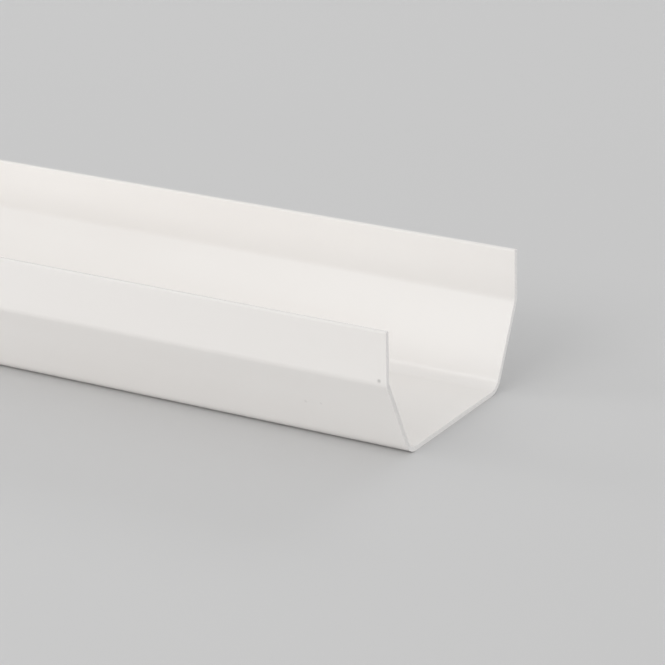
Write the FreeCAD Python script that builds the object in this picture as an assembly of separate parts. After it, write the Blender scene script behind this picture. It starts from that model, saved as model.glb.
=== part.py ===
import FreeCAD, Part
import math
import os

# Square-line rainwater gutter, one length of extruded PVC-U stock, cut square at both ends.
# X runs along the gutter, Y across it, Z up. The origin is in the middle of the underside.
# All sizes are in millimetres, over the outside of the wall unless a name says otherwise.

stock_length = 2000.0      # gutter is sold in 2 m and 4 m lengths
rim_width = 114.0          # over the two upright rim walls
depth = 60.5               # underside of the base to the top of the rims
wall = 2.2                 # the same all the way round the section
fold_height = 37.0         # underside of the base to the fold, where the wall turns upright
base_width = 77.6          # between the sharp meeting lines of the base and the leaning walls
corner_radius = 9.0        # outside, between the base and a leaning wall
fold_radius = 7.0          # outside, between a leaning wall and an upright wall
rim_radius = 0.8           # on both long edges of each rim
least_radius = 0.2         # an inside bend is never sharper than this

# The leaning wall starts at the base's sharp corner and ends at the fold.
lean = math.atan2((rim_width - base_width) / 2, fold_height)     # angle from upright
corner_turn = math.pi / 2 - lean                                 # how far the wall turns at the base


def half_section():
    """Corners (y, z, radius) of one side, from the outside of the base round the rim to the inside."""
    rim_round = min(rim_radius, 0.45 * wall)
    outside = [
        (base_width / 2, 0.0, corner_radius),
        (rim_width / 2, fold_height, fold_radius),
        (rim_width / 2, depth, rim_round),
    ]
    # A bend keeps one centre, so its inside radius is a wall less than its outside radius.
    inside = [
        (rim_width / 2 - wall, depth, rim_round),
        (rim_width / 2 - wall, fold_height + wall * math.tan(lean / 2),
         max(fold_radius - wall, least_radius)),
        (base_width / 2 - wall * math.tan(corner_turn / 2), wall,
         max(corner_radius - wall, least_radius)),
    ]
    return outside + inside


def rounded_outline(corners, x):
    """Closed wire through the corners in the plane at x, each corner replaced by a tangent arc."""
    count = len(corners)
    points = [FreeCAD.Vector(x, y, z) for y, z, radius in corners]
    arcs = []
    for i in range(count):
        corner, radius = points[i], corners[i][2]
        towards_last = (points[i - 1] - corner).normalize()
        towards_next = (points[(i + 1) % count] - corner).normalize()
        half_angle = towards_last.getAngle(towards_next) / 2
        reach = radius / math.tan(half_angle)
        bisector = (towards_last + towards_next).normalize()
        centre = corner + bisector * (radius / math.sin(half_angle))
        arcs.append(Part.Arc(corner + towards_last * reach,
                             centre - bisector * radius,
                             corner + towards_next * reach))
    edges = []
    for i in range(count):
        edges.append(arcs[i].toShape())
        edges.append(Part.makeLine(arcs[i].EndPoint, arcs[(i + 1) % count].StartPoint))
    return Part.Wire(edges)


def gutter_section():
    """The whole gutter: the section at one cut end, extruded to the other."""
    right = half_section()
    left = [(-y, z, radius) for y, z, radius in reversed(right)]
    end_face = Part.Face(rounded_outline(right + left, -stock_length / 2))
    return end_face.extrude(FreeCAD.Vector(stock_length, 0, 0))


os.makedirs("parts", exist_ok=True)
gutter = gutter_section()
gutter.exportStep("parts/gutter_section.step")

box = gutter.BoundBox
print("gutter_section: valid %s, %d solid, %.1f x %.1f x %.1f mm, %.1f cm3"
      % (gutter.isValid(), len(gutter.Solids), box.XLength, box.YLength, box.ZLength,
         gutter.Volume / 1000))
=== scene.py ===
import math

import bpy
from mathutils import Matrix, Quaternion, Vector


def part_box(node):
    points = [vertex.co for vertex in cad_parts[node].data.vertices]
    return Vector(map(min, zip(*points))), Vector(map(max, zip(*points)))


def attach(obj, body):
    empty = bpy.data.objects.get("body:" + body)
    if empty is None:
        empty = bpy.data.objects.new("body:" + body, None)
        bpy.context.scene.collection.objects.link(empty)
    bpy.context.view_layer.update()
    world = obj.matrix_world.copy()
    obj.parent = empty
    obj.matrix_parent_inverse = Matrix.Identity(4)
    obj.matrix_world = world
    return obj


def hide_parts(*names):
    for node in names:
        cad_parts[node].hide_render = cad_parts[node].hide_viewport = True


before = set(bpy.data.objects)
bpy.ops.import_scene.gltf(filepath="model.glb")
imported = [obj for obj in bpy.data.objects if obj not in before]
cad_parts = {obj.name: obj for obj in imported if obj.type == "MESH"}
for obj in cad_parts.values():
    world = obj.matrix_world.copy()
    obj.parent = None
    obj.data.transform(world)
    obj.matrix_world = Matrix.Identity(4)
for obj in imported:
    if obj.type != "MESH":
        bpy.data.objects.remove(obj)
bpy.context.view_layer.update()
gutterLow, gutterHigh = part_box("gutter_section")
print("frame loaded: gutter", [round(size * 1000, 1) for size in gutterHigh - gutterLow], "mm")


# One output of a node, ready for sums such as height * 2 or 1 - mask.
class Value:
    def __init__(self, maker, socket):
        self.maker = maker
        self.socket = socket

    def output(self, name):
        return Value(self.maker, self.socket.node.outputs[name])

    def maths(self, operation, *terms):
        return self.maker.add("ShaderNodeMath", {"operation": operation}, dict(enumerate(terms)))

    def __add__(self, other):
        return self.maths("ADD", self, other)

    __radd__ = __add__

    def __mul__(self, other):
        return self.maths("MULTIPLY", self, other)

    __rmul__ = __mul__

    def __sub__(self, other):
        return self.maths("SUBTRACT", self, other)

    def __rsub__(self, other):
        return self.maths("SUBTRACT", other, self)

    def __truediv__(self, other):
        return self.maths("DIVIDE", self, other)

    def __pow__(self, other):
        return self.maths("POWER", self, other)

    def __gt__(self, other):
        return self.maths("GREATER_THAN", self, other)

    def __lt__(self, other):
        return self.maths("LESS_THAN", self, other)

    def absolute(self):
        return self.maths("ABSOLUTE", self)

    def orLess(self, other):
        return self.maths("MINIMUM", self, other)


# Adds nodes to a shader tree or a geometry tree.
class Maker:
    def __init__(self, tree):
        self.tree = tree
        tree.nodes.clear()

    # settings are the node's own properties; values go to its inputs, by name or by number
    def add(self, kind, settings=None, values=None, output=0):
        node = self.tree.nodes.new(kind)
        for name, setting in (settings or {}).items():
            setattr(node, name, setting)
        for name, value in (values or {}).items():
            if isinstance(value, Value):
                self.tree.links.new(value.socket, node.inputs[name])
            else:
                node.inputs[name].default_value = value
        return Value(self, node.outputs[output]) if node.outputs else node

    # smooth step from 0 at low to 1 at high; low may be the larger one
    def step(self, value, low, high):
        return self.add("ShaderNodeMapRange", {"interpolation_type": "SMOOTHSTEP"},
                        {"Value": value, "From Min": low, "From Max": high})

    def mixColour(self, factor, first, second):
        return self.add("ShaderNodeMix", {"data_type": "RGBA"}, {0: factor, 6: first, 7: second}, 2)

    def vector(self, x=0.0, y=0.0, z=0.0):
        return self.add("ShaderNodeCombineXYZ", None, {"X": x, "Y": y, "Z": z})

    def axes(self, vector):
        split = self.add("ShaderNodeSeparateXYZ", None, {0: vector})
        return split.output("X"), split.output("Y"), split.output("Z")

    def scaled(self, vector, factors):
        return self.add("ShaderNodeVectorMath", {"operation": "MULTIPLY"}, {0: vector, 1: factors})

    def distance(self, vector, centre):
        return self.add("ShaderNodeVectorMath", {"operation": "DISTANCE"}, {0: vector, 1: centre}, "Value")

    def noise(self, vector, detail=2.0, roughness=0.5):
        return self.add("ShaderNodeTexNoise", None,
                        {"Vector": vector, "Scale": 1.0, "Detail": detail, "Roughness": roughness})

    # relief of this depth in metres, over the relief under it if there is one
    def bump(self, height, depth, strength=1.0, under=None):
        values = {"Strength": strength, "Distance": depth, "Height": height}
        if under is not None:
            values["Normal"] = under
        return self.add("ShaderNodeBump", None, values)

    def finish(self, values):
        surface = self.add("ShaderNodeBsdfPrincipled", None, values)
        self.add("ShaderNodeOutputMaterial", None, {"Surface": surface})


# Noise swung about nought, with spread from its lowest to its highest.
def swing(noise, spread):
    return (noise - 0.5) * spread


def rgba(colour):
    return (*colour, 1.0)


# A new material, the maker for its nodes, and the place on the piece in metres.
def startMaterial(name):
    material = bpy.data.materials.new(name)
    material.use_nodes = True
    make = Maker(material.node_tree)
    return material, make, make.add("ShaderNodeTexCoord", output="Object")


# The gutter's section and length: metres, over the outside of the wall unless a name says otherwise.
gutter = {
    "length": gutterHigh.x - gutterLow.x,
    "rimWidth": gutterHigh.y - gutterLow.y,
    "depth": gutterHigh.z - gutterLow.z,
    "wall": 0.0022,
    "foldHeight": 0.0370,
    "baseWidth": 0.0776,          # between the sharp meeting lines of base and leaning walls
    "cornerRadius": 0.0090,       # outside bend at the base
    "foldRadius": 0.0070,         # outside bend at the fold
    "rimRadius": 0.0008,
    "bendSteps": 8,               # flats round each bend
    "holdGap": 0.0010,            # extra edge line this far beyond each bend keeps the flats flat
    "ringSpacing": 0.020,         # along the length
    "drawIn": 0.00025,            # most that a rim wanders inwards after the extruder's sizing plate
    "drawLength": 0.30,           # length of that wander
    "seed": 7.0,
    "sawnArris": 0.00012,         # worn edge of the sawn ends
    "arrisSteps": 2,
    "arrisAngle": 60.0,           # degrees; only sharper edges are worn
    "flatsWeight": 100,           # how far the large flats decide the shading, up to 100
}


# Corners (y, z, bend radius, angle turned) of one side of the section, from the underside round the rim.
def halfOutline():
    halfRim, halfBase, wall = gutter["rimWidth"] / 2, gutter["baseWidth"] / 2, gutter["wall"]
    depth, foldHeight = gutter["depth"], gutter["foldHeight"]
    lean = math.atan2(halfRim - halfBase, foldHeight)
    cornerTurn = math.pi / 2 - lean
    return [
        (halfBase, 0.0, gutter["cornerRadius"], cornerTurn),
        (halfRim, foldHeight, gutter["foldRadius"], lean),
        (halfRim, depth, gutter["rimRadius"], math.pi / 2),
        (halfRim - wall, depth, gutter["rimRadius"], math.pi / 2),
        (halfRim - wall, foldHeight + wall * math.tan(lean / 2), gutter["foldRadius"] - wall, lean),
        (halfBase - wall * math.tan(cornerTurn / 2), wall, gutter["cornerRadius"] - wall, cornerTurn),
    ]


# The sharp outline as a closed loop of edges. Each corner carries its bend radius, and has a point
# of no radius beyond the bend on either side, where the flat is long enough.
def outlineMesh():
    right = halfOutline()
    corners = right + [(-y, z, radius, turn) for y, z, radius, turn in reversed(right)]
    places = [Vector((y, z, 0)) for y, z, radius, turn in corners]
    points, radii = [], []
    for i, (y, z, radius, turn) in enumerate(corners):
        hold = radius * math.tan(turn / 2) + gutter["holdGap"]
        before = places[i - 1] - places[i]
        after = places[(i + 1) % len(places)] - places[i]
        if before.length > 2 * hold:
            points.append(places[i] + before.normalized() * hold)
            radii.append(0.0)
        points.append(places[i])
        radii.append(radius)
        if after.length > 2 * hold:
            points.append(places[i] + after.normalized() * hold)
            radii.append(0.0)
    mesh = bpy.data.meshes.new("outline")
    edges = [(i, (i + 1) % len(points)) for i in range(len(points))]
    mesh.from_pydata(points, edges, [])
    mesh.attributes.new("bendRadius", "FLOAT", "POINT").data.foreach_set("value", radii)
    return mesh


# Geometry tree: rounds the outline's bends, sweeps it along the length and lets the walls wander a little.
def extrusionTree():
    tree = bpy.data.node_groups.new("gutterExtrusion", "GeometryNodeTree")
    make = Maker(tree)
    inputs = [("Outline", "NodeSocketGeometry"), ("Length", "NodeSocketFloat"),
              ("Rings", "NodeSocketInt"), ("Bend Steps", "NodeSocketInt"),
              ("Half Width", "NodeSocketFloat"), ("Depth", "NodeSocketFloat"),
              ("Draw In", "NodeSocketFloat"), ("Draw Length", "NodeSocketFloat"),
              ("Seed", "NodeSocketFloat"), ("Skin", "NodeSocketMaterial"),
              ("Sawn End", "NodeSocketMaterial")]
    for name, kind in inputs:
        tree.interface.new_socket(name, in_out="INPUT", socket_type=kind)
    tree.interface.new_socket("Gutter", in_out="OUTPUT", socket_type="NodeSocketGeometry")
    given = make.add("NodeGroupInput")

    loop = make.add("GeometryNodeMeshToCurve", None, {"Mesh": given.output("Outline")})
    bend = make.add("GeometryNodeInputNamedAttribute", {"data_type": "FLOAT"}, {"Name": "bendRadius"})
    section = make.add("GeometryNodeFilletCurve", {"mode": "POLY"},
                       {"Curve": loop, "Radius": bend, "Count": given.output("Bend Steps")})

    halfLength = given.output("Length") / 2
    line = make.add("GeometryNodeCurvePrimitiveLine", {"mode": "POINTS"},
                    {"Start": make.vector(x=0 - halfLength), "End": make.vector(x=halfLength)})
    path = make.add("GeometryNodeResampleCurve", {"mode": "COUNT"},
                    {"Curve": line, "Count": given.output("Rings")})
    upright = make.add("GeometryNodeSetCurveNormal", {"mode": "FREE"},
                       {"Curve": path, "Normal": (0.0, 1.0, 0.0)})
    swept = make.add("GeometryNodeCurveToMesh", None,
                     {"Curve": upright, "Profile Curve": section, "Fill Caps": True})

    # each wall moves in by a share of its distance from the middle, which grows with the square of its
    # height; a gap in the noise keeps the two walls' wanders apart
    laneGap = 5.0
    lengthways, across, height = make.axes(make.add("GeometryNodeInputPosition"))
    lane = (across > 0) * laneGap + given.output("Seed")
    wander = make.noise(make.vector(x=lengthways / given.output("Draw Length"), y=lane), detail=1.0)
    share = wander * given.output("Draw In") / given.output("Half Width")
    rise = (height / given.output("Depth")) ** 2
    offset = make.vector(y=0 - across * share * rise)
    drawn = make.add("GeometryNodeSetPosition", None, {"Geometry": swept, "Offset": offset})
    smooth = make.add("GeometryNodeSetShadeSmooth", None, {0: drawn})

    endFacing = 0.9               # a face that looks this far along the length belongs to a sawn end
    facing = make.axes(make.add("GeometryNodeInputNormal"))[0]
    isEnd = facing.absolute() > endFacing
    real = make.add("GeometryNodeRealizeInstances", None, {"Geometry": smooth})
    skinned = make.add("GeometryNodeSetMaterial", None,
                       {"Geometry": real, "Material": given.output("Skin")})
    finished = make.add("GeometryNodeSetMaterial", None,
                        {"Geometry": skinned, "Selection": isEnd, "Material": given.output("Sawn End")})
    make.add("NodeGroupOutput", None, {0: finished})
    return tree


# Bakes the tree, the arrises of the sawn ends and the flats' normals into one plain mesh.
def extrudeGutter(skin, sawnEnd):
    blank = bpy.data.objects.new("outline", outlineMesh())
    bpy.context.scene.collection.objects.link(blank)
    tree = extrusionTree()
    sweep = blank.modifiers.new("extrusion", "NODES")
    sweep.node_group = tree
    sizes = {
        "Length": gutter["length"],
        "Rings": round(gutter["length"] / gutter["ringSpacing"]) + 1,
        "Bend Steps": gutter["bendSteps"],
        "Half Width": gutter["rimWidth"] / 2,
        "Depth": gutter["depth"],
        "Draw In": gutter["drawIn"],
        "Draw Length": gutter["drawLength"],
        "Seed": gutter["seed"],
        "Skin": skin,
        "Sawn End": sawnEnd,
    }
    for item in tree.interface.items_tree:
        if item.in_out == "INPUT" and item.name in sizes:
            sweep[item.identifier] = sizes[item.name]
    arris = blank.modifiers.new("sawnArris", "BEVEL")
    arris.width = gutter["sawnArris"]
    arris.segments = gutter["arrisSteps"]
    arris.limit_method = "ANGLE"
    arris.angle_limit = math.radians(gutter["arrisAngle"])
    flats = blank.modifiers.new("flats", "WEIGHTED_NORMAL")
    flats.weight = gutter["flatsWeight"]

    depsgraph = bpy.context.evaluated_depsgraph_get()
    mesh = bpy.data.meshes.new_from_object(blank.evaluated_get(depsgraph),
                                           preserve_all_data_layers=True, depsgraph=depsgraph)
    mesh.name = "gutterSection"
    piece = bpy.data.objects.new("gutterSection", mesh)
    bpy.context.scene.collection.objects.link(piece)
    bpy.data.objects.remove(blank)
    return piece


# Smooth white PVC as it leaves the die. Patterns of three numbers are noise cells per metre along,
# across and up.
pvc = {
    "white": (0.885, 0.862, 0.838),
    "paler": (0.900, 0.880, 0.858),
    "clouds": (9.0, 30.0, 30.0),         # where white gives way to paler
    "cloudEdges": (0.3, 0.7),            # noise at which the change starts and ends
    # dark colour: the specks of dirt, and the painted shade on the rims' tops
    "dirtAndRimShade": (0.26, 0.25, 0.24),
    "gloss": 0.5,
    "roughness": 0.20,
    "smears": (14.0, 60.0, 60.0),
    "smearSpread": 0.10,                 # roughness between the shiniest smear and the dullest
    "dieLines": (0.5, 700.0, 700.0),     # lines run along X
    "dieLineSpread": 0.03,               # roughness between one line and another
    "dieLineHeight": 0.0000015,
    "orangePeel": 420.0,                 # cells per metre, every way
    "orangePeelHeight": 0.000006,
    "rimPaintedShade": 0.12,                     # share of the dark colour painted on the rims' flat tops as painted shade
    "specks": [                          # from the right-hand end, up from the base, radius, share of dirt
        (0.0035, 0.0388, 0.0013, 0.50),
        (0.0441, 0.0190, 0.0011, 0.16),
        (0.0365, 0.0196, 0.0009, 0.14),
    ],
}


def pvcSkin():
    material, make, here = startMaterial("whitePvcSkin")
    clouds = make.noise(make.scaled(here, pvc["clouds"]), detail=3.0)
    lines = make.noise(make.scaled(here, pvc["dieLines"]), detail=1.0)
    colour = make.mixColour(make.step(clouds, *pvc["cloudEdges"]), rgba(pvc["white"]), rgba(pvc["paler"]))

    # painted shade: the rims' tops are darkened towards the dark colour, down to where their rounding ends
    lengthways, across, height = make.axes(here)
    rimShadeMask = make.step(height, gutter["depth"] - gutter["rimRadius"], gutter["depth"])
    colour = make.mixColour(rimShadeMask * pvc["rimPaintedShade"], colour, rgba(pvc["dirtAndRimShade"]))

    # specks of dirt on the front wall, close to the cut; both its faces show them
    onFront = across < gutterLow.y / 2
    flat = make.vector(x=lengthways, z=height)
    for fromEnd, up, radius, share in pvc["specks"]:
        away = make.distance(flat, (gutterHigh.x - fromEnd, 0.0, up))
        speck = make.step(away, radius, 0.0) * onFront * share
        colour = make.mixColour(speck, colour, rgba(pvc["dirtAndRimShade"]))

    smears = make.noise(make.scaled(here, pvc["smears"]), detail=5.0, roughness=0.6)
    roughness = pvc["roughness"] + swing(smears, pvc["smearSpread"]) + swing(lines, pvc["dieLineSpread"])
    peel = make.noise(make.scaled(here, (pvc["orangePeel"],) * 3), detail=2.0)
    relief = make.bump(lines, pvc["dieLineHeight"])
    relief = make.bump(peel, pvc["orangePeelHeight"], under=relief)
    make.finish({"Base Color": colour, "Roughness": roughness, "Normal": relief,
                 "Specular IOR Level": pvc["gloss"]})
    return material


# The sawn ends: about the skin's own white but matt, with the arcs that a circular saw leaves.
sawCut = {
    "colour": (0.91, 0.892, 0.875),
    "darker": (0.86, 0.842, 0.825),
    "toneEdges": (0.35, 0.65),           # noise at which darker starts and ends giving way to colour
    "roughness": 0.55,
    "grain": 1800.0,                     # cells per metre
    "grainSpread": 0.2,                  # roughness between the grain's low and high
    "bladeCentre": (0.16, 0.21),         # across and up, beyond the section
    "toothPitch": 0.0007,
    "toothDepth": 0.00003,
    "toothStrength": 0.6,
    "grainHeight": 0.4,                  # against the teeth's
    # dark colour mixed into the sawn ends: over the front wall's cut face and along the inside arris
    "endDarkColour": (0.42, 0.385, 0.35),
    "frontDarkShare": (0.15, 0.04),          # share of the dark colour on the front wall's cut face: leaning part, upright part
    "arrisDarkShare": 0.10,                  # share of the dark colour along the inside arris of base and front wall
    "arrisWidth": 0.0006,
    "arrisReach": 1.02,                  # of the wall: just past the arris, so that none of it is missed
}


def sawnPvc():
    material, make, here = startMaterial("sawnPvcEnd")
    # the teeth's marks lie at even distances from the blade's centre, so they are arcs
    onEnd = make.scaled(here, (0.0, 1.0, 1.0))
    sweep = make.distance(onEnd, (0.0, *sawCut["bladeCentre"]))
    teeth = make.add("ShaderNodeTexNoise", {"noise_dimensions": "1D"},
                     {"W": sweep / sawCut["toothPitch"], "Scale": 1.0, "Detail": 3.0})
    grain = make.noise(make.scaled(here, (sawCut["grain"],) * 3), detail=2.0)
    colour = make.mixColour(make.step(teeth, *sawCut["toneEdges"]),
                            rgba(sawCut["darker"]), rgba(sawCut["colour"]))

    across, height = make.axes(here)[1:]
    fold, wall, halfBase = gutter["foldHeight"], gutter["wall"], gutter["baseWidth"] / 2
    # the front wall's cut face is darker, more so on its leaning part
    leaning, upright = sawCut["frontDarkShare"]
    rise = make.step(height, fold - wall, fold + wall)
    frontDarkMask = (across < -halfBase) * (rise * (upright - leaning) + leaning)
    colour = make.mixColour(frontDarkMask, colour, rgba(sawCut["endDarkColour"]))

    # depth into the stock, from the underside of the base or the outside of the front leaning wall
    lean = math.atan2(gutter["rimWidth"] / 2 - halfBase, fold)
    fromLeaningWall = (across + halfBase) * math.cos(lean) + height * math.sin(lean)
    depthIn = height.orLess(fromLeaningWall)
    # a darker line along the inside arris of base and front wall
    pastArris = wall * sawCut["arrisReach"]
    onArris = make.step(depthIn, wall - sawCut["arrisWidth"], wall) * (depthIn < pastArris)
    colour = make.mixColour(onArris * sawCut["arrisDarkShare"], colour, rgba(sawCut["endDarkColour"]))

    roughness = sawCut["roughness"] + swing(grain, sawCut["grainSpread"])
    relief = make.bump(teeth + grain * sawCut["grainHeight"], sawCut["toothDepth"], sawCut["toothStrength"])
    make.finish({"Base Color": colour, "Roughness": roughness, "Normal": relief})
    return material


# Plain pale table top and studio.
studio = {
    "floorColour": (0.63, 0.63, 0.63),
    "floorRoughness": 0.85,
    "floorMottle": 3.0,                  # cells per metre
    "mottleSpread": 0.05,                # roughness between the mottle's low and high
    "floorGloss": 0.12,
    "floorSize": 60.0,
    "skyLight": 0.70,
    "skyShown": (0.60, 0.61, 0.62),
}


def layFloor():
    material, make, here = startMaterial("paleFloor")
    mottle = make.noise(make.scaled(here, (studio["floorMottle"],) * 3), detail=4.0)
    roughness = studio["floorRoughness"] + swing(mottle, studio["mottleSpread"])
    make.finish({"Base Color": rgba(studio["floorColour"]), "Roughness": roughness,
                 "Specular IOR Level": studio["floorGloss"]})
    half = studio["floorSize"] / 2
    mesh = bpy.data.meshes.new("floor")
    mesh.from_pydata([(-half, -half, 0), (half, -half, 0), (half, half, 0), (-half, half, 0)],
                     [], [(0, 1, 2, 3)])
    mesh.materials.append(material)
    floor = bpy.data.objects.new("floor", mesh)
    bpy.context.scene.collection.objects.link(floor)


# The sky lights the gutter softly; the camera and reflections see the pale studio wall.
def hangSky():
    world = bpy.data.worlds.new("studio")
    bpy.context.scene.world = world
    world.use_nodes = True
    make = Maker(world.node_tree)
    rays = make.add("ShaderNodeLightPath")
    seen = rays.output("Is Camera Ray") + rays.output("Is Glossy Ray") + rays.output("Is Transmission Ray")
    light = make.add("ShaderNodeBackground", None,
                     {"Color": rgba((1.0, 1.0, 1.0)), "Strength": studio["skyLight"]})
    shown = make.add("ShaderNodeBackground", None, {"Color": rgba(studio["skyShown"])})
    mixed = make.add("ShaderNodeMixShader", None, {0: seen > 0.5, 1: light, 2: shown})
    make.add("ShaderNodeOutputWorld", None, {"Surface": mixed})


# Softboxes with grids: name, where it hangs, where it points, width and height, watts,
# degrees over which the grid lets light out, colour
lamps = [
    ("keySoftbox", (0.0, -3.2, 2.1), (0.1, 0.0, 0.0), (2.8, 1.2), 4.6, 70, (1.0, 0.985, 0.97)),
    ("lowSoftbox", (-0.3, -4.2, 0.7), (-0.1, 0.0, 0.03), (1.8, 0.6), 1.0, 30, (1.0, 0.985, 0.97)),
    ("bendSoftbox", (-1.5, -2.9, 3.1), (0.6, 0.0, 0.0), (2.6, 0.9), 1.3, 60, (1.0, 0.99, 0.98)),
    ("leftSoftbox", (-5.0, -1.4, 2.0), (0.2, 0.0, 0.0), (3.0, 2.4), 3.8, 40, (1.0, 0.99, 0.98)),
    ("rightSoftbox", (5.0, -1.6, 0.9), (1.0, 0.0, 0.03), (3.0, 1.4), 1.7, 30, (0.97, 0.98, 1.0)),
    ("backSoftbox", (0.0, 4.2, 2.6), (0.0, 0.0, 0.0), (4.0, 1.4), 6.6, 80, (0.97, 0.985, 1.0)),
]


def hangLamp(name, place, target, size, watts, gridAngle, colour):
    data = bpy.data.lights.new(name, "AREA")
    data.shape = "RECTANGLE"
    data.size, data.size_y = size
    data.energy = watts
    data.spread = math.radians(gridAngle)
    data.color = colour
    lamp = bpy.data.objects.new(name, data)
    lamp.location = place
    lamp.rotation_euler = (Vector(target) - Vector(place)).to_track_quat("-Z", "Y").to_euler()
    lamp.visible_camera = False
    bpy.context.scene.collection.objects.link(lamp)


# The camera looks down into the channel's right-hand end. Angles are degrees; lens and sensor are mm.
camera = {
    "azimuth": 31.12,
    "elevation": 20.98,
    "roll": -1.22,
    "distance": 1.3753,
    "aimFromEnd": 0.0594,
    "aimHeight": 0.0305,
    "lens": 173.70,
    "sensor": 36.0,
    "seesFrom": 0.05,
    "seesTo": 100.0,
}


def setCamera():
    data = bpy.data.cameras.new("camera")
    data.sensor_width = camera["sensor"]
    data.lens = camera["lens"]
    data.clip_start, data.clip_end = camera["seesFrom"], camera["seesTo"]
    azimuth, elevation = math.radians(camera["azimuth"]), math.radians(camera["elevation"])
    back = Vector((math.sin(azimuth) * math.cos(elevation),
                   -math.cos(azimuth) * math.cos(elevation), math.sin(elevation)))
    aim = Vector((gutterHigh.x - camera["aimFromEnd"], 0.0, camera["aimHeight"]))
    level = (-back).to_track_quat("-Z", "Y")
    rolled = level @ Quaternion((0.0, 0.0, 1.0), math.radians(camera["roll"]))
    eye = bpy.data.objects.new("camera", data)
    eye.matrix_world = Matrix.Translation(aim + back * camera["distance"]) @ rolled.to_matrix().to_4x4()
    bpy.context.scene.collection.objects.link(eye)
    bpy.context.scene.camera = eye


piece = extrudeGutter(pvcSkin(), sawnPvc())
print("gutter swept:", len(piece.data.polygons), "faces")
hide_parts("gutter_section")
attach(piece, "root")

layFloor()
hangSky()
for lamp in lamps:
    hangLamp(*lamp)
setCamera()
bpy.context.scene.view_settings.view_transform = "Standard"
print("studio set")
